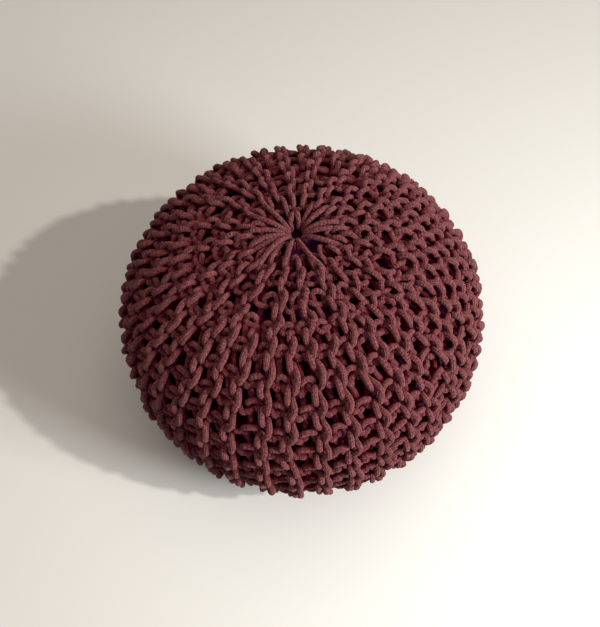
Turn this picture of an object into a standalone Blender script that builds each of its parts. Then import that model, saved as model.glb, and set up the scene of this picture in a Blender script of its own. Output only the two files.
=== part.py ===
"""Knitted pouf: a round floor pouf in thick cotton rope, knitted in ribs from top to bottom.

The pouf is one filled, closed solid. Its outline is a turned profile: a crown that is drawn in
to a small hollow at the top, a full round side and a broad flat base. The knitting stands out
as forty ribs that run down the side like the lines of a globe. Every second rib ends on the
shoulder, so that twenty run on to the gathered centre, above and below alike. The centre of the
crown lies a little behind the axis, and the ribs run toward it.

Units are metres, +Z is up, and the origin is the centre of the base, on the floor.
"""

import bisect
import math

import bmesh
import bpy

# ---------------------------------------------------------------- driving dimensions (metres)
DIAMETER = 0.500            # across the rib crests, at the widest place
CROWN_RISE = 0.195          # from the widest place up to the top
BASE_DROP = 0.165           # from the widest place down to the floor
BASE_DIAMETER = 0.190       # flat face that rests on the floor
CROWN_FULLNESS = 2.3        # exponent of the crown's outline; 2 is an ellipse, more is squarer
SIDE_FULLNESS = 2.2         # the same for the outline under the widest place

RIBS = 40                   # ribs round the side
RIB_HEIGHT = 0.009          # from the valley between two ribs up to the crest
RIB_ROUNDNESS = 0.6         # under 1 makes a rib fuller at its flanks
SHOULDER_OUTER = 0.172      # distance from the axis at which every second rib starts to fade
SHOULDER_INNER = 0.128      # distance from the axis at which it has gone

FIRST_RIB_DEG = 4.5         # angle about the centre at which one of the lasting ribs has its crest
CENTRE_SHIFT = 0.010        # the gathered centre lies this far behind the axis, toward +Y
SHIFT_START = 0.24          # distance from the gathered centre at which the shift starts to fade
SHIFT_END = 0.50            # distance at which it has gone
HOLLOW_DEPTH = 0.014        # drawn-in centre of the crown
HOLLOW_RADIUS = 0.020
GATHER_OUTER = 0.075        # distance from the axis at which the ribs start to sink into the centre
GATHER_INNER = 0.008        # distance from the axis at which they have gone
BASE_FADE = 0.040           # width of the band round the base in which they flatten out
BASE_BLEND = 0.050          # the same, along the outline, for the valleys, which meet the floor there

POINTS_PER_RIB = 4          # crest, flank, valley, flank
HOLLOW_RINGS = (0.006, 0.010, 0.015, 0.022, 0.030)  # rings round the centre, by their distance from it
CROWN_RINGS = 14            # even steps from the last of these rings to the widest place
SIDE_RINGS = 10             # and from there to the base's edge
TRACE_STEPS = 240           # steps of the traced outline, above the widest place and again below
SIDE_COLUMNS = RIBS * POINTS_PER_RIB
SHOULDER_COLUMNS = SIDE_COLUMNS // 2
CENTRE_COLUMNS = SIDE_COLUMNS // 4
SHOULDER_RADIUS = 0.150     # inside this distance from the axis a ring has half the points
CENTRE_FAN_RADIUS = 0.050   # and inside this one a quarter

RADIUS = DIAMETER / 2.0
BASE_RADIUS = BASE_DIAMETER / 2.0
FIRST_RIB = math.radians(FIRST_RIB_DEG)

# ---------------------------------------------------------------- finish
ROPE_COLOUR = (0.105, 0.036, 0.040, 1.0)     # wine-red cotton
ROPE_ROUGHNESS = 0.95


def fade(value, start, end):
    """Goes smoothly from 0 at start to 1 at end."""
    x = min(1.0, max(0.0, (value - start) / (end - start)))
    return x * x * (3.0 - 2.0 * x)


def rib_wave(angle, ribs):
    """Height of a row of ribs at an angle from one of its crests: 1 on a crest and 0 in a valley."""
    return (0.5 + 0.5 * math.cos(ribs * angle)) ** RIB_ROUNDNESS


def rib_height(angle, radius, above):
    """How far the knitting stands out of the valleys' surface, from 0 to RIB_HEIGHT."""
    all_ribs = fade(radius, SHOULDER_INNER, SHOULDER_OUTER)
    wave = all_ribs * rib_wave(angle, RIBS) + (1.0 - all_ribs) * rib_wave(angle, RIBS // 2)
    if above:
        return RIB_HEIGHT * wave * fade(radius, GATHER_INNER, GATHER_OUTER)
    return RIB_HEIGHT * wave * fade(radius, BASE_RADIUS, BASE_RADIUS + BASE_FADE)


def crown_point(turn):
    """Radius and height of the crown's outline; turn goes from 0 at the side to 1 at the top."""
    side = math.cos(0.5 * math.pi * turn) ** (2.0 / CROWN_FULLNESS)
    rise = math.sin(0.5 * math.pi * turn) ** (2.0 / CROWN_FULLNESS)
    return RADIUS * side, BASE_DROP + CROWN_RISE * rise


def base_point(turn):
    """The same below the widest place; turn goes from 0 at the side to 1 at the base's edge."""
    side = math.cos(0.5 * math.pi * turn) ** (2.0 / SIDE_FULLNESS)
    drop = math.sin(0.5 * math.pi * turn) ** (2.0 / SIDE_FULLNESS)
    return BASE_RADIUS + (RADIUS - BASE_RADIUS) * side, BASE_DROP * (1.0 - drop)


def trace_outline():
    """Rows of distance from the top, radius and height, along the outline to the base's edge."""
    turns = [step / TRACE_STEPS for step in range(TRACE_STEPS + 1)]
    points = [crown_point(turn) for turn in reversed(turns)]
    points += [base_point(turn) for turn in turns[1:]]
    rows = [(0.0, *points[0])]
    for radius, height in points[1:]:
        step = math.hypot(radius - rows[-1][1], height - rows[-1][2])
        rows.append((rows[-1][0] + step, radius, height))
    return rows


OUTLINE = trace_outline()
DISTANCES = [row[0] for row in OUTLINE]
WIDEST = DISTANCES[TRACE_STEPS]
EDGE = DISTANCES[-1]


def outline_at(distance):
    """Radius and height of the outline, and its outward direction, at this distance from the top."""
    index = min(max(bisect.bisect(DISTANCES, distance), 1), len(OUTLINE) - 1)
    before, after = OUTLINE[index - 1], OUTLINE[index]
    step = after[0] - before[0]
    share = (distance - before[0]) / step
    run, rise = after[1] - before[1], after[2] - before[2]
    return before[1] + share * run, before[2] + share * rise, -rise / step, run / step


def point_at(angle, distance, depth):
    """Point under the outline's surface, by its angle and distance about the gathered centre."""
    shift = CENTRE_SHIFT * (1.0 - fade(distance, SHIFT_START, SHIFT_END))
    x = distance * math.cos(angle)
    y = distance * math.sin(angle) + shift
    radius, height, out_radius, out_height = outline_at(math.hypot(x, y))
    depth += HOLLOW_DEPTH * math.exp(-((distance / HOLLOW_RADIUS) ** 2))
    turn = math.atan2(y, x)
    reach = radius - depth * out_radius
    return reach * math.cos(turn), reach * math.sin(turn), height - depth * out_height


def columns_at(radius, above):
    """How many points a ring of this radius has."""
    if radius > SHOULDER_RADIUS:
        return SIDE_COLUMNS
    if above and radius < CENTRE_FAN_RADIUS:
        return CENTRE_COLUMNS
    return SHOULDER_COLUMNS


def ring_points(distance):
    """Points of one ring, counter-clockwise seen from above, with the ribs raised in them."""
    above = distance < WIDEST
    radius = outline_at(distance)[0]
    blend = fade(radius, 0.0, GATHER_OUTER) if above else fade(EDGE - distance, 0.0, BASE_BLEND)
    count = columns_at(radius, above)
    points = []
    for column in range(count):
        angle = 2.0 * math.pi * column / count
        sunk = blend * (RIB_HEIGHT - rib_height(angle, radius, above))
        points.append(point_at(FIRST_RIB + angle, distance, sunk))
    return points


def join_rings(mesh, upper, lower):
    """Fills the band between two rings; one may have twice the points of the other."""
    if len(upper) == len(lower):
        count = len(upper)
        for i in range(count):
            j = (i + 1) % count
            mesh.faces.new((upper[i], lower[i], lower[j]))
            mesh.faces.new((upper[i], lower[j], upper[j]))
        return
    fine, coarse = (lower, upper) if len(lower) > len(upper) else (upper, lower)
    count = len(coarse)
    for i in range(count):
        j = (i + 1) % count
        start, middle, end = fine[2 * i], fine[2 * i + 1], fine[(2 * i + 2) % len(fine)]
        band = [(coarse[i], start, middle), (coarse[i], middle, coarse[j]), (coarse[j], middle, end)]
        for corners in band:
            mesh.faces.new(corners if fine is lower else corners[::-1])


def remove_everything():
    """Clears the scene of objects."""
    for item in list(bpy.data.objects):
        bpy.data.objects.remove(item, do_unlink=True)


def rope_material():
    """Wine-red cotton rope, matt."""
    material = bpy.data.materials.new("cotton_rope")
    material.use_nodes = True
    shader = material.node_tree.nodes["Principled BSDF"]
    shader.inputs["Base Color"].default_value = ROPE_COLOUR
    shader.inputs["Roughness"].default_value = ROPE_ROUGHNESS
    shader.inputs["Metallic"].default_value = 0.0
    return material


def build_knitted_cover():
    """The whole pouf: rings from the top's centre down to the base's edge, closed at both ends."""
    mesh = bmesh.new()
    last = HOLLOW_RINGS[-1]
    crown = [last + (WIDEST - last) * step / CROWN_RINGS for step in range(1, CROWN_RINGS + 1)]
    side = [WIDEST + (EDGE - WIDEST) * step / SIDE_RINGS for step in range(1, SIDE_RINGS + 1)]
    rings = [ring_points(distance) for distance in (*HOLLOW_RINGS, *crown, *side)]
    loops = [[mesh.verts.new(point) for point in ring] for ring in rings]

    for upper, lower in zip(loops, loops[1:]):
        join_rings(mesh, upper, lower)

    centre = mesh.verts.new(point_at(0.0, 0.0, 0.0))
    for i, vert in enumerate(loops[0]):
        mesh.faces.new((centre, vert, loops[0][(i + 1) % len(loops[0])]))
    mesh.faces.new(list(reversed(loops[-1])))

    data = bpy.data.meshes.new("knitted_cover")
    mesh.to_mesh(data)
    mesh.free()
    data.shade_smooth()
    data.set_sharp_from_angle(angle=math.radians(60.0))
    cover = bpy.data.objects.new("knitted_cover", data)
    data.materials.append(rope_material())
    bpy.context.scene.collection.objects.link(cover)
    return cover


remove_everything()
build_knitted_cover()
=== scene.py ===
"""Knitted pouf in thick wine-red cotton rope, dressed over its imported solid.

The cover is one length of rope, knitted in the round in ribs: a column of knit stitches that
stands out, then a column of purl stitches that lies back. Each course of stitches is a closed
ring of rope round the pouf, and each ring is bent through the loops of the course under it. At
the top and under the base the last stitches are drawn together round a small hole.

Sizes are in metres unless a name says otherwise. A place on the cover is given by its distance
along the surface from the knitting's centre on the crown, and by its angle about that centre.
"""

import logging
import math
from dataclasses import dataclass, field
from enum import Enum
from typing import Any, Sequence

import bpy
import numpy as np
from mathutils import Matrix, Vector


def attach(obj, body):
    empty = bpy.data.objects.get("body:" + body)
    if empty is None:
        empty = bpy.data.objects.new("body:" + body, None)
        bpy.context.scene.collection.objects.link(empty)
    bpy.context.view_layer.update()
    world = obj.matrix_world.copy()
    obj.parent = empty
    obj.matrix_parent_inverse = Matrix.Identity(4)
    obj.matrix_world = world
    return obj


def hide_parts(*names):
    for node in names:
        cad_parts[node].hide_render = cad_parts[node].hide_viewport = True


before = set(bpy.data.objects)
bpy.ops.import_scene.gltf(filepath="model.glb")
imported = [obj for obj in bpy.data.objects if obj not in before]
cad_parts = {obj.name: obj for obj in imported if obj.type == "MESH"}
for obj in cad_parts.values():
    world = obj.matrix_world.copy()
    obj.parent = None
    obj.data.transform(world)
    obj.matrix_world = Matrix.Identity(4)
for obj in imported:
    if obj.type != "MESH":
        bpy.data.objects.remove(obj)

LOG = logging.getLogger("knitted_pouf")
NODE = "knitted_cover"
BODY = "root"

FULL_TURN = 2.0 * math.pi
MM_PER_M = 1000.0
FRONT_DEG = -90.0              # angle of the front from +X
PICTURE_SIZE = (600, 627)      # width and height in pixels
SENSOR_WIDTH_MM = 36.0

ROPE_MAP = "rope"              # UV map that measures the rope along and turns round it
# Painted shade: this attribute makes the rope's colour darker and redder where it lies deep, and more where
# it turns side on to the outside.
PAINTED_SHADE_ATTR = "painted_shade_mm"           # attribute that says how sheltered the rope is
SIDE_SHADE_MM = 4.0          # shelter of a surface that stands side on to the outside

# Tall courses lie over the shoulder: distances of a course's head from the centre, and its height there.
COURSE_PLACES = (0.110, 0.139, 0.170, 0.208, 0.245, 0.280, 0.310)
COURSE_HEIGHTS = (0.0297, 0.0315, 0.0375, 0.0367, 0.0357, 0.0333, 0.0328)
COURSES_PER_BAND = 4           # keeps each piece of knitting under 200,000 triangles

# The strands under the base: every second one lies under its neighbours and starts farther out.
BASE_LEAN_DEG = 5.0
BASE_INNER_MM = (12.0, 16.0)
BASE_OUTER_MM = 62.0
BASE_UNDER = (0.1, 0.6)


# ------------------------ small helpers
def hex_to_linear(code: str) -> tuple[float, float, float, float]:
    """Turns an sRGB hex colour into linear RGBA.

    Args:
        code: six hex digits, with or without a leading #.

    Returns:
        The colour as linear red, green, blue and an alpha of 1.
    """
    digits = code.lstrip("#")
    channels = [int(digits[i : i + 2], 16) / 255.0 for i in (0, 2, 4)]
    linear = [c / 12.92 if c <= 0.04045 else ((c + 0.055) / 1.055) ** 2.4 for c in channels]
    return (linear[0], linear[1], linear[2], 1.0)


def smooth_step(value: np.ndarray | float, start: float, end: float) -> np.ndarray | float:
    """Goes smoothly from 0 at start to 1 at end."""
    x = np.clip((value - start) / (end - start), 0.0, 1.0)
    return x * x * (3.0 - 2.0 * x)


def cubic_between(
    before: np.ndarray, start: np.ndarray, end: np.ndarray, after: np.ndarray, share: np.ndarray | float
) -> np.ndarray:
    """Finds points on a smooth curve through rows of places.

    Args:
        before: the places before the spans that the points lie in.
        start: the places at which these spans start.
        end: the places at which they end.
        after: the places after them.
        share: how far along its span each point lies, from 0 to 1.

    Returns:
        The points, one row each.
    """
    return 0.5 * (
        2.0 * start
        + (end - before) * share
        + (2.0 * before - 5.0 * start + 4.0 * end - after) * share * share
        + (3.0 * start - before - 3.0 * end + after) * share**3
    )


def spline_through(points: np.ndarray, per_span: int, round_trip: np.ndarray) -> np.ndarray:
    """Draws a closed smooth curve through points, sampled evenly in each span.

    Args:
        points: the points that it goes through, one row each.
        per_span: samples for each span.
        round_trip: what each column has gained when the curve comes back to its start, such as
            a full turn for an angle.

    Returns:
        The samples, one row each.
    """
    before, start = np.roll(points, 1, axis=0), points
    end, after = np.roll(points, -1, axis=0), np.roll(points, -2, axis=0)
    before[:1] -= round_trip
    end[-1:] += round_trip
    after[-2:] += round_trip
    samples = [cubic_between(before, start, end, after, step / per_span) for step in range(per_span)]
    return np.stack(samples, axis=1).reshape(-1, points.shape[1])


def spline_open(points: np.ndarray, count: int) -> np.ndarray:
    """Draws an open smooth curve through points.

    Args:
        points: the points that it goes through, one row each.
        count: how many samples it has.

    Returns:
        The samples, one row each.
    """
    ends = np.concatenate([2.0 * points[:1] - points[1:2], points, 2.0 * points[-1:] - points[-2:-1]])
    last_place = len(points) - 1.0001  # just inside the last span
    place = np.linspace(0.0, last_place, count)
    index = place.astype(int)
    before, start, end, after = (ends[index + step] for step in range(4))
    return cubic_between(before, start, end, after, (place - index)[:, None])


def deselect_all() -> None:
    """Leaves no object selected and none in edit mode."""
    if bpy.context.object is not None and bpy.context.object.mode != "OBJECT":
        bpy.ops.object.mode_set(mode="OBJECT")
    bpy.ops.object.select_all(action="DESELECT")


def select_only(items: Sequence[bpy.types.Object]) -> None:
    """Selects some objects alone.

    Args:
        items: the objects; the first becomes the active one.
    """
    deselect_all()
    for item in items:
        item.select_set(True)
    bpy.context.view_layer.objects.active = items[0]


def vertex_rows(piece: bpy.types.Object, key: str) -> np.ndarray:
    """Reads a property of a piece's vertices.

    Args:
        piece: the piece.
        key: the property, co for the place or normal for the direction that it faces.

    Returns:
        The vectors, one row each.
    """
    values = np.empty(len(piece.data.vertices) * 3, dtype=np.float32)
    piece.data.vertices.foreach_get(key, values)
    return values.reshape(-1, 3).astype(float)


def join_ropes(name: str, lengths: Sequence[bpy.types.Object]) -> bpy.types.Object:
    """Joins lengths of rope into one smooth piece.

    Args:
        name: the piece's name.
        lengths: the mesh objects to join.

    Returns:
        The piece.
    """
    select_only(lengths)
    if len(lengths) > 1:
        bpy.ops.object.join()
    piece = bpy.context.view_layer.objects.active
    piece.name = name
    piece.data.name = name
    piece.data.shade_smooth()
    return piece


# ------------------------ the body's form
@dataclass
class PoufOutline:
    """The turned outline of the pouf, read by the distance along it from the top's centre.

    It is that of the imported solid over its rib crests: a crown with a small hollow, a full side
    and a flat base.

    Attributes:
        radius: distance from the axis to the rib crests, at the widest place.
        base_drop: from the widest place down to the floor.
        crown_rise: from the widest place up to the top.
        base_radius: radius of the flat base.
        crown_fullness: exponent of the crown's outline; 2 is an ellipse, more is squarer.
        side_fullness: the same for the outline under the widest place.
        hollow_depth: depth of the drawn-in centre of the crown.
        hollow_radius: how far from the centre the hollow reaches.
        pole_shift: how far the knitting's centre lies behind the axis.
        shift_start: distance from that centre at which the shift starts to fade.
        shift_end: distance at which it has gone.
        steps: points on the crown, on the side and on the whole outline.
        floor_steps: points on the flat base.
        along, reach, height: each point's distance from the top's centre, from the axis and
            from the floor.
        out_reach, out_height: how far the outward direction there leads from the axis, and up.
    """

    radius: float = 0.250
    base_drop: float = 0.165
    crown_rise: float = 0.195
    base_radius: float = 0.095
    crown_fullness: float = 2.3
    side_fullness: float = 2.2
    hollow_depth: float = 0.014
    hollow_radius: float = 0.020
    pole_shift: float = 0.010
    shift_start: float = 0.24
    shift_end: float = 0.50
    steps: int = 1500
    floor_steps: int = 375
    along: np.ndarray = field(init=False)
    reach: np.ndarray = field(init=False)
    height: np.ndarray = field(init=False)
    out_reach: np.ndarray = field(init=False)
    out_height: np.ndarray = field(init=False)

    def __post_init__(self) -> None:
        """Works out the outline's points, their directions and the distance along it."""
        turn = np.linspace(0.0, 0.5 * math.pi, self.steps)
        crown_reach = self.radius * np.cos(turn) ** (2.0 / self.crown_fullness)
        crown_height = self.base_drop + self.crown_rise * np.sin(turn) ** (2.0 / self.crown_fullness)
        side_share = np.cos(turn) ** (2.0 / self.side_fullness)
        side_reach = self.base_radius + (self.radius - self.base_radius) * side_share
        side_height = self.base_drop * (1.0 - np.sin(turn) ** (2.0 / self.side_fullness))
        floor_reach = np.linspace(self.base_radius, 0.0, self.floor_steps)
        reach = np.concatenate([crown_reach[::-1], side_reach[1:], floor_reach[1:]])
        height = np.concatenate([crown_height[::-1], side_height[1:], np.zeros(self.floor_steps - 1)])
        run = np.concatenate([[0.0], np.cumsum(np.hypot(np.diff(reach), np.diff(height)))])
        self.along = np.linspace(0.0, run[-1], self.steps)
        self.reach = np.interp(self.along, run, reach)
        self.height = np.interp(self.along, run, height)
        slope_reach = np.gradient(self.reach, self.along)
        slope_height = np.gradient(self.height, self.along)
        size = np.hypot(slope_reach, slope_height)
        self.out_reach = -slope_height / size
        self.out_height = slope_reach / size

    @property
    def length(self) -> float:
        """The distance from the top's centre to the base's centre, along the outline."""
        return float(self.along[-1])

    def reach_at(self, along: np.ndarray | float) -> np.ndarray | float:
        """Distance from the axis at this distance along the outline."""
        return np.interp(along, self.along, self.reach)

    def hollow_at(self, away: np.ndarray) -> np.ndarray:
        """Depth of the crown's hollow at this distance from the knitting's centre."""
        return self.hollow_depth * np.exp(-((away / self.hollow_radius) ** 2))

    def place(self, angle: np.ndarray, along: np.ndarray, depth: np.ndarray) -> np.ndarray:
        """Puts points on or under the outline's turned surface.

        Args:
            angle: angle about the axis, in radians from +X.
            along: distance from the top's centre.
            depth: distance under the surface.

        Returns:
            The points, one row each.
        """
        out_reach = np.interp(along, self.along, self.out_reach)
        out_height = np.interp(along, self.along, self.out_height)
        reach = np.interp(along, self.along, self.reach) - depth * out_reach
        height = np.interp(along, self.along, self.height) - depth * out_height
        return np.stack([reach * np.cos(angle), reach * np.sin(angle), height], axis=1)

    def drape(self, angle: np.ndarray, along: np.ndarray, depth: np.ndarray) -> np.ndarray:
        """Puts points of the knitting on the outline; its centre lies a little behind the axis.

        Args:
            angle: angle about the knitting's centre, in radians from +X.
            along: distance from the knitting's centre.
            depth: distance under the surface.

        Returns:
            The points, one row each.
        """
        shift = self.pole_shift * (1.0 - smooth_step(along, self.shift_start, self.shift_end))
        across, back = along * np.cos(angle), along * np.sin(angle) + shift
        return self.place(np.arctan2(back, across), np.hypot(across, back), depth + self.hollow_at(along))

    def depth_of(self, points: np.ndarray) -> np.ndarray:
        """Tells roughly how far points lie under the surface, toward the body's middle.

        Args:
            points: an array of points, one row each.

        Returns:
            Their depths.
        """
        rise = np.arctan2(self.height - self.base_drop, self.reach)
        size = np.hypot(self.reach, self.height - self.base_drop)
        reach = np.hypot(points[:, 0], points[:, 1])
        above = points[:, 2] - self.base_drop
        away = np.hypot(points[:, 0], points[:, 1] - self.pole_shift)
        hollow = np.where(above > 0.0, self.hollow_at(away), 0.0)
        full = np.interp(np.arctan2(above, reach), rise[::-1], size[::-1])
        return full - np.hypot(reach, above) - hollow


# ------------------------ finishes
class Shader:
    """A material's node tree, built one node at a time."""

    def __init__(self, name: str) -> None:
        """Starts an empty material.

        Args:
            name: the material's name.
        """
        self.material = bpy.data.materials.new(name)
        self.material.use_nodes = True
        self.tree = self.material.node_tree
        self.tree.nodes.clear()

    def node(self, kind: str, settings: dict[str, Any] | None = None, **links: Any) -> bpy.types.Node:
        """Adds a node with its settings, and fills its inputs.

        Args:
            kind: the node's type name in Blender.
            settings: properties of the node, by name.
            links: inputs by name, with _ for a space, or by number, as i0 for the first. Each is
                given a value or an output socket.

        Returns:
            The new node.
        """
        made = self.tree.nodes.new(kind)
        for key, value in (settings or {}).items():
            setattr(made, key, value)
        for key, value in links.items():
            index = int(key[1:]) if key[0] == "i" and key[1:].isdigit() else key.replace("_", " ")
            socket = made.inputs[index]
            if isinstance(value, bpy.types.NodeSocket):
                self.tree.links.new(value, socket)
            else:
                socket.default_value = value
        return made


@dataclass(frozen=True)
class CottonRope:
    """Soft cotton rope, spun and braided: matt, with a fuzzy edge and an uneven dye.

    Spun cotton scatters light evenly, so that the loops read by their shading and not by gloss.
    The dye took unevenly, which gives darker blotches and paler flecks of fibre. Rope that lies
    deep, and rope that turns side on to the outside, is painted a darker, fuller red: painted shade
    for the little light, mostly red, that reaches it between the loops.

    Attributes:
        name: the material's name.
        body_hex: the dye over most of the rope.
        blotch_hex: the dye where it took more strongly.
        pale_hex: fibre ends that stand out of the rope.
        painted_shade_hex: painted shade, a darker, fuller red for the braid's furrows and for rope that
            lies deep.
        sheen_hex: the glow of the fuzz at the rope's edge.
        shade_from_mm, shade_to_mm: painted-shade amounts over which the rope turns to painted shade.
        braid_mm: length of the braid's repeat along the rope.
        braid_turns: repeats of the braid round the rope.
        fibre_mm: size of the fibre flecks; fibres are finer, and these are as fine as can show.
        blotch_mm: size of the blotches.
        fleck_from, fleck_to: values of the fibres' pattern between which pale flecks grow.
        furrow_from, furrow_to: values of the braid's pattern between which furrows get painted shade.
        furrow_shade_share: how far a furrow turns to the painted shade colour.
        braid_relief: height of the braid, as a share of the fibres' height.
        relief: height of the whole surface pattern.
    """

    name: str = "cotton_rope_wine"
    body_hex: str = "#653034"
    blotch_hex: str = "#562530"
    pale_hex: str = "#865250"
    painted_shade_hex: str = "#6C1B28"
    sheen_hex: str = "#DCAEA6"
    shade_from_mm: float = 6.0
    shade_to_mm: float = 30.0
    braid_mm: float = 6.0
    braid_turns: float = 4.0
    fibre_mm: float = 2.4
    blotch_mm: float = 26.0
    fleck_from: float = 0.40
    fleck_to: float = 0.62
    furrow_from: float = -0.2
    furrow_to: float = -0.9
    furrow_shade_share: float = 0.5
    braid_relief: float = 0.35
    relief: float = 0.0016

    def braid(self, shade: Shader) -> bpy.types.NodeSocket:
        """Adds the braid: two sets of ridges that cross as they wind round the rope.

        Args:
            shade: the material that is being made.

        Returns:
            The pattern, from -1 in a furrow to 1 on a strand.
        """
        spot = shade.node("ShaderNodeUVMap", {"uv_map": ROPE_MAP})
        split = shade.node("ShaderNodeSeparateXYZ", None, Vector=spot.outputs["UV"])
        turns = shade.node(
            "ShaderNodeMath", {"operation": "MULTIPLY"}, i0=split.outputs["Y"], i1=self.braid_turns
        )
        rate = FULL_TURN * MM_PER_M / self.braid_mm
        waves = []
        for slope in (rate, -rate):
            lean = shade.node(
                "ShaderNodeMath", {"operation": "MULTIPLY_ADD"},
                i0=split.outputs["X"], i1=slope, i2=turns.outputs[0],
            )
            waves.append(shade.node("ShaderNodeMath", {"operation": "SINE"}, i0=lean.outputs[0]))
        both = shade.node(
            "ShaderNodeMath", {"operation": "MULTIPLY"}, i0=waves[0].outputs[0], i1=waves[1].outputs[0]
        )
        return both.outputs[0]

    def colour(
        self, shade: Shader, place: bpy.types.NodeSocket, fibre: bpy.types.NodeSocket,
        braid: bpy.types.NodeSocket,
    ) -> bpy.types.NodeSocket:
        """Adds the colour: the dye's blotches and pale flecks, and painted shade in furrows and deep rope.

        Args:
            shade: the material that is being made.
            place: the place on the piece.
            fibre: the fibres' pattern.
            braid: the braid's pattern.

        Returns:
            The rope's colour.
        """
        blotch = shade.node(
            "ShaderNodeTexNoise", {"noise_dimensions": "3D"},
            Vector=place, Scale=MM_PER_M / self.blotch_mm, Detail=2.0, Roughness=0.5,
        )
        dye = shade.node(
            "ShaderNodeMix", {"data_type": "RGBA"}, i0=blotch.outputs["Fac"],
            i6=hex_to_linear(self.blotch_hex), i7=hex_to_linear(self.body_hex),
        )
        fleck = shade.node(
            "ShaderNodeMapRange", None, Value=fibre, From_Min=self.fleck_from, From_Max=self.fleck_to
        )
        # Painted shade: the braid's furrows are coloured darker.
        furrow = shade.node(
            "ShaderNodeMapRange", None,
            Value=braid, From_Min=self.furrow_from, From_Max=self.furrow_to, To_Max=self.furrow_shade_share,
        )
        # Painted shade: rope that lies deep or turns side on to the outside is coloured a darker, fuller
        # red.
        shade_mask = shade.node(
            "ShaderNodeAttribute", {"attribute_name": PAINTED_SHADE_ATTR, "attribute_type": "GEOMETRY"}
        )
        deep = shade.node(
            "ShaderNodeMapRange", {"interpolation_type": "SMOOTHSTEP"},
            Value=shade_mask.outputs["Fac"], From_Min=self.shade_from_mm, From_Max=self.shade_to_mm,
        )
        colour = dye.outputs[2]
        for share, code in ((fleck, self.pale_hex), (furrow, self.painted_shade_hex), (deep, self.painted_shade_hex)):
            mix = shade.node(
                "ShaderNodeMix", {"data_type": "RGBA"},
                i0=share.outputs[0], i6=colour, i7=hex_to_linear(code),
            )
            colour = mix.outputs[2]
        return colour

    def build(self) -> bpy.types.Material:
        """Makes the material; its braid follows the rope by the piece's UV map.

        Returns:
            The new material.
        """
        shade = Shader(self.name)
        place = shade.node("ShaderNodeTexCoord").outputs["Object"]
        fibre = shade.node(
            "ShaderNodeTexNoise", {"noise_dimensions": "3D"},
            Vector=place, Scale=MM_PER_M / self.fibre_mm, Detail=3.0, Roughness=0.6,
        ).outputs["Fac"]
        braid = self.braid(shade)
        weave = shade.node(
            "ShaderNodeMath", {"operation": "MULTIPLY_ADD"}, i0=braid, i1=self.braid_relief, i2=fibre
        )
        bump = shade.node(
            "ShaderNodeBump", None, Strength=0.9, Distance=self.relief, Height=weave.outputs[0]
        )
        # Cotton is rough all through and hardly reflects; a little sheen stands for its fuzz.
        skin = shade.node(
            "ShaderNodeBsdfPrincipled", None,
            Base_Color=self.colour(shade, place, fibre, braid), Normal=bump.outputs["Normal"],
            Roughness=0.8, Diffuse_Roughness=1.0, Specular_IOR_Level=0.15,
            Sheen_Weight=0.05, Sheen_Roughness=0.6, Sheen_Tint=hex_to_linear(self.sheen_hex),
        )
        shade.node("ShaderNodeOutputMaterial", None, Surface=skin.outputs["BSDF"])
        return shade.material


@dataclass(frozen=True)
class PaintedShadeLining:
    """Closely woven cotton bag that holds the filling; its near-black colour is painted shade in the gaps.

    Attributes:
        name: the material's name.
        colour_hex: a near-black purple, painted shade that makes the gaps between the loops read as holes.
        thread_mm: spacing of its coarse threads, which roughen the little light that gets in.
    """

    name: str = "lining_painted_shade"
    colour_hex: str = "#3A1E33"
    thread_mm: float = 1.1

    def build(self) -> bpy.types.Material:
        """Makes the material.

        Returns:
            The new material.
        """
        shade = Shader(self.name)
        place = shade.node("ShaderNodeTexCoord").outputs["Object"]
        weave = shade.node(
            "ShaderNodeTexNoise", None, Vector=place, Scale=MM_PER_M / self.thread_mm, Detail=2.0
        )
        bump = shade.node(
            "ShaderNodeBump", None, Strength=0.3, Distance=0.0005, Height=weave.outputs["Fac"]
        )
        # Dull cotton: no gloss at all, so nothing shines out of the gaps.
        skin = shade.node(
            "ShaderNodeBsdfPrincipled", None, Base_Color=hex_to_linear(self.colour_hex),
            Normal=bump.outputs["Normal"], Roughness=1.0, Specular_IOR_Level=0.0,
        )
        shade.node("ShaderNodeOutputMaterial", None, Surface=skin.outputs["BSDF"])
        return shade.material


@dataclass(frozen=True)
class PaleFloor:
    """Smooth painted floor, matt and nearly white, which shows the pouf's soft shadow.

    Attributes:
        name: the material's name.
        colour_hex: the paint's warm white.
    """

    name: str = "floor_pale_paint"
    colour_hex: str = "#E6E3DE"

    def build(self) -> bpy.types.Material:
        """Makes the material.

        Returns:
            The new material.
        """
        shade = Shader(self.name)
        # Matt paint: it takes the shadow evenly and mirrors nothing.
        skin = shade.node(
            "ShaderNodeBsdfPrincipled", None,
            Base_Color=hex_to_linear(self.colour_hex), Roughness=0.9, Specular_IOR_Level=0.1,
        )
        shade.node("ShaderNodeOutputMaterial", None, Surface=skin.outputs["BSDF"])
        return shade.material


# ------------------------ rope and stitches
@dataclass(frozen=True)
class LoopPoint:
    """One place on a loop.

    Attributes:
        across: distance to the right of the stitch's middle, in rope diameters.
        courses: height over the foot of the loop, in course heights.
        ropes: further height, in rope diameters.
        bulge: how far the rope's middle stands out of the fabric's middle there, in diameters.
    """

    across: float
    courses: float
    ropes: float
    bulge: float


def loop(*rows: tuple[float, float, float, float]) -> tuple[LoopPoint, ...]:
    """Makes a loop's places from rows of their fields."""
    return tuple(LoopPoint(*row) for row in rows)


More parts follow.
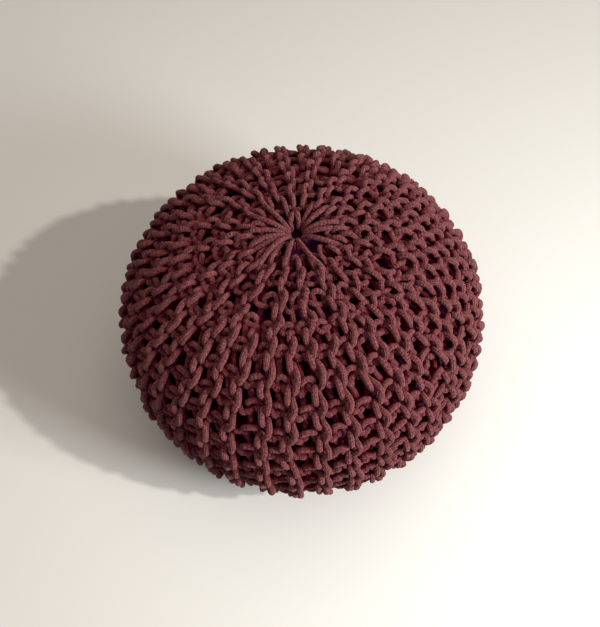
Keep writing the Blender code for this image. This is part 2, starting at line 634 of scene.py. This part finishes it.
# Each row: across, courses, ropes, bulge.
CROSSED_KNIT = loop(
    (-1.25, 0.00, 0.05, -0.25),
    (-0.80, 0.00, -0.05, -0.20),
    (-0.38, 0.00, 0.05, 0.05),
    (-0.10, 0.00, 0.55, 0.85),
    (0.14, 0.00, 1.35, 1.26),
    (0.38, 0.38, 0.10, 1.36),
    (0.42, 0.50, 0.00, 1.30),
    (0.28, 0.63, 0.00, 1.02),
    (0.00, 0.73, 0.00, 0.50),
    (-0.24, 0.83, 0.00, -0.25),
    (-0.42, 0.93, 0.05, -0.50),
    (-0.62, 1.00, 0.35, -0.25),
    (-0.86, 1.00, 0.85, 0.20),
    (-1.04, 1.00, 0.45, 0.90),
    (-1.02, 0.89, 0.00, 1.14),
    (-0.86, 0.68, 0.00, 0.86),
    (-0.46, 0.52, 0.00, 0.10),
    (0.10, 0.00, 1.00, -0.40),
    (0.55, 0.00, 0.40, 0.00),
    (0.95, 0.00, 0.00, 0.20),
    (1.30, 0.00, 0.02, 0.05),
)

SIDE_PURL = loop(
    (-0.90, 0.00, 0.15, 0.00),
    (-0.42, 0.00, 0.20, 0.10),
    (-0.05, 0.00, 0.42, -0.50),
    (-0.60, 0.00, 0.95, -1.25),
    (-0.42, 0.42, 0.20, -0.90),
    (-0.82, 0.82, 0.20, -0.66),
    (-0.90, 1.00, 1.05, -0.55),
    (-1.02, 1.00, 1.62, 0.12),
    (-0.05, 1.00, 2.12, 0.40),
    (0.98, 1.00, 1.74, 0.12),
    (0.88, 1.00, 1.10, -0.50),
    (1.70, 0.85, 0.20, -1.10),
    (1.70, 0.45, 0.20, -1.25),
    (0.85, 0.00, 1.45, -1.05),
    (0.48, 0.00, 1.10, -0.50),
    (0.62, 0.00, 0.70, 0.05),
    (1.00, 0.00, 0.30, 0.00),
)

# Near the crown both legs lie wide apart behind the ridges, which leaves the valleys open.
CROWN_LEG = loop((-1.70, 0.45, 0.20, -1.25), (-1.70, 0.85, 0.20, -1.10))
CROWN_PURL = (*SIDE_PURL[:4], *CROWN_LEG, *SIDE_PURL[6:])


class Stitch(Enum):
    """The stitches of a rib, each by the places that its loop goes through from left to right."""

    KNIT = CROSSED_KNIT
    PURL = SIDE_PURL
    OPEN_PURL = CROWN_PURL


@dataclass
class Rope:
    """The rope that the cover is knitted from.

    Attributes:
        diameter: its thickness where it lies loose.
        roundness: Blender's bevel resolution for it; 2 gives a tube of eight sides.
    """

    diameter: float = 0.008
    roundness: int = 2

    def tube(
        self, name: str, points: np.ndarray, thickness: np.ndarray, closed: bool
    ) -> bpy.types.Object:
        """Makes one length of rope along points.

        Args:
            name: the new object's name.
            points: places of the rope's middle.
            thickness: thickness at each point, as a share of the rope's diameter.
            closed: whether the end joins the start.

        Returns:
            A mesh object whose UV map measures the rope along and turns round it.
        """
        line = bpy.data.curves.new(name, "CURVE")
        line.dimensions = "3D"
        line.bevel_depth = 0.5 * self.diameter
        line.bevel_resolution = self.roundness
        line.use_fill_caps = not closed
        spline = line.splines.new("POLY")
        spline.points.add(len(points) - 1)
        flat = np.concatenate([points, np.ones((len(points), 1))], axis=1).ravel()
        spline.points.foreach_set("co", flat.astype(np.float32))
        spline.points.foreach_set("radius", thickness.astype(np.float32))
        spline.use_cyclic_u = closed
        made = bpy.data.objects.new(name, line)
        bpy.context.scene.collection.objects.link(made)
        select_only([made])
        bpy.ops.object.convert(target="MESH")
        self.scale_map(made.data, float(np.linalg.norm(np.diff(points, axis=0), axis=1).sum()))
        return made

    def scale_map(self, mesh: bpy.types.Mesh, length: float) -> None:
        """Stretches the UV map: metres along the rope, and radians round it.

        Args:
            mesh: the rope's mesh, whose map runs from 0 to 1 both ways.
            length: the rope's length.
        """
        layer = mesh.uv_layers[0]
        layer.name = ROPE_MAP
        values = np.empty(len(layer.data) * 2, dtype=np.float32)
        layer.data.foreach_get("uv", values)
        values[0::2] *= length
        values[1::2] *= FULL_TURN
        layer.data.foreach_set("uv", values)


@dataclass
class Unevenness:
    """How far hand knitting strays from an even net: slow waves, and a little for each stitch.

    Neighbouring loops stray together, so that they stay linked.

    Attributes:
        seed: what everything is drawn from.
        waves: how many waves there are.
        turn_range: fewest swings of a wave round the pouf, and one more than the most.
        steepest: how fast a wave runs down the side at most, in radians for each metre.
        sideways, upward, outward: usual strays of the net in each direction.
        stitch_share: usual stray of a single stitch, in each direction.
        turns, rates, phases: swings of each wave round the pouf, how fast it runs down the side,
            and where it starts for each direction.
        chance: the source of the random draws.
    """

    seed: int = 23
    waves: int = 14
    turn_range: tuple[int, int] = (2, 26)
    steepest: float = 90.0
    sideways: float = 0.0021
    upward: float = 0.0022
    outward: float = 0.0009
    stitch_share: float = 0.0010
    turns: np.ndarray = field(init=False)
    rates: np.ndarray = field(init=False)
    phases: np.ndarray = field(init=False)
    chance: np.random.Generator = field(init=False)

    def __post_init__(self) -> None:
        """Draws the waves."""
        self.chance = np.random.default_rng(self.seed)
        self.turns = self.chance.integers(*self.turn_range, self.waves)
        self.rates = self.chance.uniform(-self.steepest, self.steepest, self.waves)
        self.phases = self.chance.uniform(0.0, FULL_TURN, (3, self.waves))

    def stray(self, angle: np.ndarray, along: np.ndarray) -> np.ndarray:
        """Adds up the waves at places of the knitting.

        Args:
            angle: angle about the knitting's centre, in radians.
            along: distance from it.

        Returns:
            Sideways, upward and outward strays, one row for each place.
        """
        base = angle[:, None] * self.turns + along[:, None] * self.rates
        sizes = np.array([self.sideways, self.upward, self.outward])
        waves = [np.sin(base + phase).sum(axis=1) for phase in self.phases]
        return np.stack(waves, axis=1) * sizes * math.sqrt(2.0 / self.waves)

    def stitch(self, count: int) -> np.ndarray:
        """Draws sideways, upward and outward strays of single stitches, one row each."""
        return self.chance.normal(0.0, self.stitch_share, (count, 3))


@dataclass
class Course:
    """One ring of stitches round the pouf.

    Attributes:
        foot: distance of the stitches' feet from the knitting's centre.
        height: course height, from these feet to the next course's.
        wales: stitches in the ring.
        widens: whether every second ridge starts in this ring.
        purl: the purl stitch in it.
    """

    foot: float
    height: float
    wales: int
    widens: bool
    purl: Stitch


@dataclass
class RibKnitting:
    """The knitted cover: courses of knit and purl stitches from under the crown to the base.

    Attributes:
        outline: the body that it covers.
        rope: what it is knitted from.
        side_wales: stitches round the side, a knit and a purl for each rib.
        first_ridge_deg: angle of the first rib from +X.
        unevenness: how it strays from an even net.
        samples_per_span: samples between two places of a loop.
        wale_width: stitch width at which the loops have their full size.
        narrowing: exponent by which loops in narrower stitches are smaller.
        crown_thickness: the rope's thickness near the crown, where it is drawn tight, as a share.
        thin_until, full_from: distances from the centre between which it gets its full thickness.
        tight_thickness: share of that thickness where the rope lies inside the fabric.
        loose_thickness: share of it where the rope stands out.
        loose_bulge: bulge from which it counts as standing out, in diameters.
        valley_sink: how far purls sink in as the stitches get narrow, in diameters.
        doubling_reach: distance from the axis from which the rows have all their stitches.
        open_reach: distance from the centre up to which the valleys are open.
        newcomer_sink: how far the head of a new rib is tucked under, in diameters.
        newcomer_from: share of the course height over which its loops are tucked under.
        first_head: distance from the centre at which the knitting starts.
        base_margin: least distance from the base's centre at which a course may start.
    """

    outline: PoufOutline
    rope: Rope
    side_wales: int = 80
    first_ridge_deg: float = 274.5
    unevenness: Unevenness = field(default_factory=Unevenness)
    samples_per_span: int = 2
    wale_width: float = 0.0196
    narrowing: float = 0.6
    crown_thickness: float = 0.82
    thin_until: float = 0.06
    full_from: float = 0.20
    tight_thickness: float = 0.95
    loose_thickness: float = 1.0
    loose_bulge: float = 1.2
    valley_sink: float = 0.3
    doubling_reach: float = 0.128
    open_reach: float = 0.090
    newcomer_sink: float = 1.3
    newcomer_from: float = 0.8
    first_head: float = 0.049
    base_margin: float = 0.075

    def angle_of(self, wale: int, wales: int) -> float:
        """Angle of a column of stitches about the knitting's centre, in radians."""
        return math.radians(self.first_ridge_deg) + FULL_TURN * wale / wales

    def course_points(self, course: Course) -> tuple[np.ndarray, np.ndarray]:
        """Finds the places of the rope's middle round one course.

        Args:
            course: the ring of stitches.

        Returns:
            The places, one row each, and the rope's thickness there as a share of its diameter.
        """
        rope = self.rope.diameter
        reach = float(self.outline.reach_at(course.foot - 0.5 * course.height))
        width = FULL_TURN * reach / course.wales
        squeeze = min(1.0, width / self.wale_width) ** self.narrowing
        crest = (max(point.bulge for point in CROSSED_KNIT) + 0.5) * rope
        fullness = float(smooth_step(course.foot, self.thin_until, self.full_from))
        thin = self.crown_thickness + (1.0 - self.crown_thickness) * fullness
        rows = []
        strays = self.unevenness.stitch(course.wales)
        for wale in range(course.wales):
            stitch = Stitch.KNIT if wale % 2 == 0 else course.purl
            middle = self.angle_of(wale, course.wales)
            sunk = 0.0 if stitch is Stitch.KNIT else self.valley_sink * (1.0 - squeeze)
            side, up, out = strays[wale]
            # Four columns take the place of two; the first goes on upward, and the third is the new rib.
            newcomer = course.widens and wale % 4 == 2
            for point in stitch.value:
                angle = middle + (point.across * rope * squeeze + side) / reach
                along = course.foot - point.courses * course.height - point.ropes * rope * squeeze - up
                hidden = self.newcomer_sink if newcomer and point.courses > self.newcomer_from else 0.0
                ease = min(1.0, max(0.0, point.bulge / self.loose_bulge))
                girth = thin * (self.tight_thickness + (self.loose_thickness - self.tight_thickness) * ease)
                rows.append((angle, along, crest - (point.bulge - sunk - hidden) * rope - out, girth))
        round_trip = np.array([FULL_TURN, 0.0, 0.0, 0.0])
        angle, along, depth, girth = spline_through(np.array(rows), self.samples_per_span, round_trip).T
        stray = self.unevenness.stray(angle, along)
        depth = np.maximum(depth - stray[:, 2], 0.5 * rope * girth)
        return self.outline.drape(angle + stray[:, 0] / reach, along - stray[:, 1], depth), girth

    def courses(self) -> list[Course]:
        """Lays out the courses from the crown's edge down to the base.

        Returns:
            The courses, each with the stitches that it needs.
        """
        rows = []
        head = self.first_head
        while head < self.outline.length - self.base_margin:
            height = float(np.interp(head, COURSE_PLACES, COURSE_HEIGHTS))
            reach = float(self.outline.reach_at(head + 0.5 * height))
            wales = self.side_wales if reach > self.doubling_reach else self.side_wales // 2
            widens = bool(rows) and wales > rows[-1].wales
            purl = Stitch.OPEN_PURL if head < self.open_reach else Stitch.PURL
            rows.append(Course(head + height, height, wales, widens, purl))
            head += height
        return rows

    def build(self, name: str, courses: Sequence[Course]) -> bpy.types.Object:
        """Makes one band of knitting.

        Args:
            name: the piece's name.
            courses: the courses in it.

        Returns:
            The band as one mesh object.
        """
        rings = []
        for number, course in enumerate(courses):
            points, girth = self.course_points(course)
            rings.append(self.rope.tube(f"{name}_{number}", points, girth, closed=True))
        return join_ropes(name, rings)


# ------------------------ gathered centres
@dataclass(frozen=True)
class Strand:
    """One strand of the gathered centre, from the hole outward.

    Attributes:
        inner_deg: its angle about the centre at the hole, in degrees from the front, to the right.
        outer_deg: its angle where it goes under the first stitches.
        inner_mm: its distance from the centre where it turns down into the hole.
        outer_mm: its distance from the centre where it goes under the stitches.
        under: how far it lies under the top strands, in rope diameters.
    """

    inner_deg: float
    outer_deg: float
    inner_mm: float
    outer_mm: float
    under: float


# Each row: inner_deg, outer_deg, inner_mm, outer_mm, under.
CROWN_STRANDS = tuple(Strand(*row) for row in (
    (-19, -17, 11, 50, 0.10),
    (5, 26, 10, 62, 0.00),
    (52, 63, 10, 58, 0.15),
    (84, 90, 10, 52, 0.30),
    (100, 99, 11, 54, 0.05),
    (127, 130, 12, 54, 0.15),
    (148, 151, 15, 50, 0.45),
    (166, 177, 13, 27, -0.15),
    (-154, -176, 13, 27, -0.05),
    (-160, -165, 24, 54, 0.40),
    (-127, -138, 12, 56, 0.00),
    (-104, -117, 10, 60, 0.10),
    (-90, -95, 15, 54, 0.40),
    (-70, -76, 10, 54, 0.20),
    (-62, -64, 15, 62, 0.40),
    (-51, -44, 10, 68, 0.00),
    (-45, -39, 20, 56, 0.75),
))


def base_strands(count: int = 20, seed: int = 7) -> tuple[Strand, ...]:
    """Lays out the strands under the base, spread evenly but for a little.

    Args:
        count: how many there are.
        seed: what their leans are drawn from.

    Returns:
        The strands.
    """
    chance = np.random.default_rng(seed)
    rows = []
    for number in range(count):
        middle = 360.0 * number / count
        lean = float(chance.uniform(-BASE_LEAN_DEG, BASE_LEAN_DEG))
        layer = number % 2
        rows.append(Strand(middle + lean, middle, BASE_INNER_MM[layer], BASE_OUTER_MM, BASE_UNDER[layer]))
    return tuple(rows)


# The way of each strand, from deep in the hole, over its edge and out under the first stitches.
# Each row: share of the way from the hole's edge to the stitches; further distance outward in mm;
# depth under the strand's own as a share of the hole's depth; further depth in rope diameters;
# share of the strand's turn that it has made; share of the rope's thickness that the pull leaves.
STRAND_PATH = (
    (0.0, 6.0, 1.00, 0.0, 0.0, 0.60),
    (0.0, 0.5, 0.45, 0.0, 0.0, 0.64),
    (0.0, -1.0, 0.20, 0.0, 0.0, 0.66),
    (0.0, 2.5, 0.00, 0.1, 0.0, 0.70),
    (0.3, 0.0, 0.00, 0.0, 0.3, 0.80),
    (0.7, 0.0, 0.00, 0.1, 0.7, 0.85),
    (1.0, 0.0, 0.00, 0.6, 1.0, 0.86),
    (1.0, 8.0, 0.00, 2.0, 1.1, 0.86),
)


@dataclass
class Gather:
    """The strands of the last stitches, drawn together round a small hole.

    Attributes:
        outline: the body that it lies on.
        rope: what it is made of.
        strands: its strands.
        samples: points along each of them.
        hole_depth: how far down the hole the strands go.
        lie_depth: depth of the top strands' middles under the outline, in rope diameters.
        below: whether it is the one under the base.
    """

    outline: PoufOutline
    rope: Rope
    strands: Sequence[Strand] = CROWN_STRANDS
    samples: int = 26
    hole_depth: float = 0.030
    lie_depth: float = 0.42
    below: bool = False

    def strand_points(self, strand: Strand) -> tuple[np.ndarray, np.ndarray]:
        """Finds the places of the rope's middle along a strand.

        Args:
            strand: the strand.

        Returns:
            The places, one row each, and the rope's thickness there as a share of its diameter.
        """
        rope = self.rope.diameter
        inner, outer = strand.inner_mm / MM_PER_M, strand.outer_mm / MM_PER_M
        lie = (self.lie_depth + strand.under) * rope
        rows = []
        for outward, further_mm, hole_share, ropes, turned, thickness in STRAND_PATH:
            away = inner + outward * (outer - inner) + further_mm / MM_PER_M
            depth = lie + hole_share * self.hole_depth + ropes * rope
            rows.append((away, depth, turned, thickness))
        away, depth, turned, girth = spline_open(np.array(rows), self.samples).T
        angle = np.radians(strand.inner_deg + (strand.outer_deg - strand.inner_deg) * turned + FRONT_DEG)
        if self.below:
            over_floor = np.maximum(depth, 0.5 * rope)
            return self.outline.place(angle, self.outline.length - away, over_floor), girth
        return self.outline.drape(angle, away, depth), girth

    def build(self, name: str) -> bpy.types.Object:
        """Makes the gathered strands.

        Args:
            name: the piece's name.

        Returns:
            The gather as one mesh object.
        """
        parts = []
        for number, strand in enumerate(self.strands):
            points, girth = self.strand_points(strand)
            parts.append(self.rope.tube(f"{name}_{number}", points, girth, closed=False))
        return join_ropes(name, parts)


# ------------------------ the dark inside
@dataclass
class InnerBag:
    """The bag inside the cover that holds the filling; its dark lining colour is painted shade.

    Attributes:
        outline: the body that it fills.
        inset: how far it lies under the outline.
        columns: faces round it.
        rows: faces from the top down to the base.
        on_axis: distance from a sphere's axis, in radii, within which a point counts as its pole.
    """

    outline: PoufOutline
    inset: float = 0.032
    columns: int = 96
    rows: int = 48
    on_axis: float = 1e-6

    def build(self) -> bpy.types.Object:
        """Makes the bag as a turned, closed form under the knitting.

        Returns:
            The bag's object.
        """
        deselect_all()
        bpy.ops.mesh.primitive_uv_sphere_add(segments=self.columns, ring_count=self.rows, radius=1.0)
        bag = bpy.context.object
        bag.name = "inner_bag"
        spots = vertex_rows(bag, "co")
        polar = np.arccos(np.clip(spots[:, 2], -1.0, 1.0))
        angle = np.arctan2(spots[:, 1], spots[:, 0])
        along = self.outline.length * polar / math.pi
        placed = self.outline.place(angle, along, np.full(len(spots), self.inset))
        placed[np.hypot(spots[:, 0], spots[:, 1]) < self.on_axis, 0:2] = 0.0
        bag.data.vertices.foreach_set("co", placed.astype(np.float32).ravel())
        bag.data.shade_smooth()
        return bag


# ------------------------ studio
class LightKind(Enum):
    """The lights that the room uses, each by Blender's name for it."""

    BULB = "POINT"
    PANEL = "AREA"


@dataclass
class Studio:
    """Camera, lights, floor and the camera's tones.

    Directions are from the front, to the right and upward. Colours are linear red, green and blue,
    and powers are in watts.
    """

    outline: PoufOutline
    focal_px: float = 800.0  # in pixels of the picture
    elevation_deg: float = 59.0  # how far the camera looks down
    distance: float = 1.118  # from the camera to the middle of the pouf
    roll_deg: float = 3.6
    aim: tuple[float, float] = (-0.0017, 0.0035)  # right of that middle, and above it
    near_clip: float = 0.05
    lamp_azimuth_deg: float = 65.5
    lamp_elevation_deg: float = 41.5
    lamp_distance: float = 5.3
    lamp_power: float = 515.0
    lamp_radius: float = 0.10  # softens the edge of the cast shadow
    lamp_colour: tuple[float, float, float] = (1.0, 0.96, 0.90)
    ceiling_size: float = 2.4
    ceiling_height: float = 2.6
    ceiling_power: float = 24.0
    ceiling_colour: tuple[float, float, float] = (1.0, 0.92, 0.83)
    window_place: tuple[float, float, float] = (1.20, -0.85, 0.90)
    window_size: float = 0.5
    window_power: float = 26.0
    window_colour: tuple[float, float, float] = (0.93, 0.98, 1.0)
    sky_strength: float = 0.15  # light from the rest of the room
    sky_colour: tuple[float, float, float] = (1.0, 0.93, 0.85)
    floor_size: float = 12.0
    black_level: tuple[float, float, float] = (0.0010, 0.0022, 0.0008)  # deepens the darks and reddens them

    def centre(self) -> Vector:
        """The middle of the pouf at its widest place."""
        return Vector((0.0, 0.0, self.outline.base_drop))

    def add_camera(self) -> None:
        """Puts the camera over the pouf, leaning down at the photograph's angle."""
        rise = math.radians(self.elevation_deg)
        back = Vector((0.0, -math.cos(rise), math.sin(rise)))
        right = Vector((1.0, 0.0, 0.0))
        up = back.cross(right)
        centre = self.centre()
        spot = centre + back * self.distance
        target = centre + right * self.aim[0] + up * self.aim[1]
        data = bpy.data.cameras.new("photo_camera")
        data.sensor_width = SENSOR_WIDTH_MM
        data.lens = self.focal_px / max(PICTURE_SIZE) * SENSOR_WIDTH_MM
        data.clip_start = self.near_clip
        camera = bpy.data.objects.new("photo_camera", data)
        turn = (target - spot).to_track_quat("-Z", "Y").to_matrix().to_4x4()
        roll = Matrix.Rotation(-math.radians(self.roll_deg), 4, "Z")
        camera.matrix_world = Matrix.Translation(spot) @ turn @ roll
        bpy.context.scene.collection.objects.link(camera)
        bpy.context.scene.camera = camera

    def add_light(
        self, name: str, kind: LightKind, power: float, colour: tuple[float, float, float]
    ) -> bpy.types.Object:
        """Adds a light.

        Args:
            name: its name.
            kind: whether it is a bulb or a panel.
            power: its power.
            colour: its colour.

        Returns:
            The light's object, still at the origin.
        """
        data = bpy.data.lights.new(name, kind.value)
        data.energy = power
        data.color = colour
        holder = bpy.data.objects.new(name, data)
        bpy.context.scene.collection.objects.link(holder)
        return holder

    def add_lamp(self) -> None:
        """Adds the one lamp on the right, which casts the shadow."""
        side, rise = math.radians(self.lamp_azimuth_deg), math.radians(self.lamp_elevation_deg)
        toward = Vector((math.cos(rise) * math.sin(side), -math.cos(rise) * math.cos(side), math.sin(rise)))
        lamp = self.add_light("room_lamp", LightKind.BULB, self.lamp_power, self.lamp_colour)
        lamp.data.shadow_soft_size = self.lamp_radius
        lamp.location = self.centre() + toward * self.lamp_distance

    def add_room_light(self) -> None:
        """Adds the soft light of a pale room: its ceiling, a window and all the rest."""
        ceiling = self.add_light("ceiling_glow", LightKind.PANEL, self.ceiling_power, self.ceiling_colour)
        ceiling.data.size = self.ceiling_size
        ceiling.location = (0.0, 0.0, self.ceiling_height)
        window = self.add_light("window_glow", LightKind.PANEL, self.window_power, self.window_colour)
        window.data.size = self.window_size
        window.location = self.window_place
        toward = self.centre() - Vector(self.window_place)
        window.rotation_euler = toward.to_track_quat("-Z", "Y").to_euler()
        world = bpy.data.worlds.new("pale_room")
        world.use_nodes = True
        sky = world.node_tree.nodes["Background"]
        sky.inputs["Color"].default_value = (*self.sky_colour, 1.0)
        sky.inputs["Strength"].default_value = self.sky_strength
        bpy.context.scene.world = world

    def add_floor(self) -> None:
        """Lays the floor."""
        deselect_all()
        bpy.ops.mesh.primitive_plane_add(size=self.floor_size, location=(0.0, 0.0, 0.0))
        floor = bpy.context.object
        floor.name = "floor"
        floor.data.materials.append(PaleFloor().build())

    def set_tones(self) -> None:
        """Shows the scene's light as it is, apart from the camera's black level."""
        view = bpy.context.scene.view_settings
        view.view_transform = "Standard"
        view.look = "None"
        view.use_curve_mapping = True
        view.curve_mapping.black_level = self.black_level
        view.curve_mapping.update()

    def build(self) -> None:
        """Sets up everything round the pouf."""
        self.add_camera()
        self.add_lamp()
        self.add_room_light()
        self.add_floor()
        self.set_tones()


# ------------------------ putting it together
def note_painted_shade(piece: bpy.types.Object, outline: PoufOutline) -> None:
    """Stores how much painted shade each point of the rope gets, in millimetres, for its colour.

    A point gets as much as it lies deep, and more where its surface turns away from the outside;
    the rope is painted a darker, fuller red there as painted shade.

    Args:
        piece: the piece of knitting.
        outline: the body that it lies on.
    """
    spots = vertex_rows(piece, "co")
    outward = spots - np.array([0.0, 0.0, outline.base_drop])
    outward /= np.linalg.norm(outward, axis=1, keepdims=True)
    turned = 1.0 - np.sum(vertex_rows(piece, "normal") * outward, axis=1)
    # Painted shade: how much darker and redder the rope's colour is made at each point.
    shade_amount_mm = MM_PER_M * outline.depth_of(spots) + SIDE_SHADE_MM * turned
    layer = piece.data.attributes.new(PAINTED_SHADE_ATTR, "FLOAT", "POINT")
    layer.data.foreach_set("value", shade_amount_mm.astype(np.float32))


def dress(piece: bpy.types.Object, finish: bpy.types.Material) -> None:
    """Gives a piece its one finish and its body, and hides the solid's node that it stands for.

    Args:
        piece: the piece.
        finish: its material.
    """
    piece.data.materials.clear()
    piece.data.materials.append(finish)
    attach(piece, BODY)
    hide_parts(NODE)
    LOG.info("%s: %d triangles", piece.name, len(piece.data.loops) - 2 * len(piece.data.polygons))


def main() -> None:
    """Builds the pouf and its studio."""
    logging.basicConfig(level=logging.INFO, format="%(name)s: %(message)s")
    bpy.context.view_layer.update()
    outline = PoufOutline()
    Studio(outline).build()
    rope_finish = CottonRope().build()
    knitting = RibKnitting(outline, Rope())
    rows = knitting.courses()
    LOG.info("outline %.4f m, %d courses", outline.length, len(rows))
    for row in rows:
        LOG.info("course foot %.3f height %.4f wales %d", row.foot, row.height, row.wales)
    bag = InnerBag(outline).build()
    dress(bag, PaintedShadeLining().build())
    for start in range(0, len(rows), COURSES_PER_BAND):
        name = f"knit_band_{start // COURSES_PER_BAND}"
        band = knitting.build(name, rows[start : start + COURSES_PER_BAND])
        note_painted_shade(band, outline)
        dress(band, rope_finish)
        band.parent = bag
    gathers = {
        "crown_gather": Gather(outline, Rope()),
        "base_gather": Gather(outline, Rope(), strands=base_strands(), below=True),
    }
    for name, gather in gathers.items():
        made = gather.build(name)
        note_painted_shade(made, outline)
        dress(made, rope_finish)
        made.parent = bag


if __name__ == "__main__":
    main()
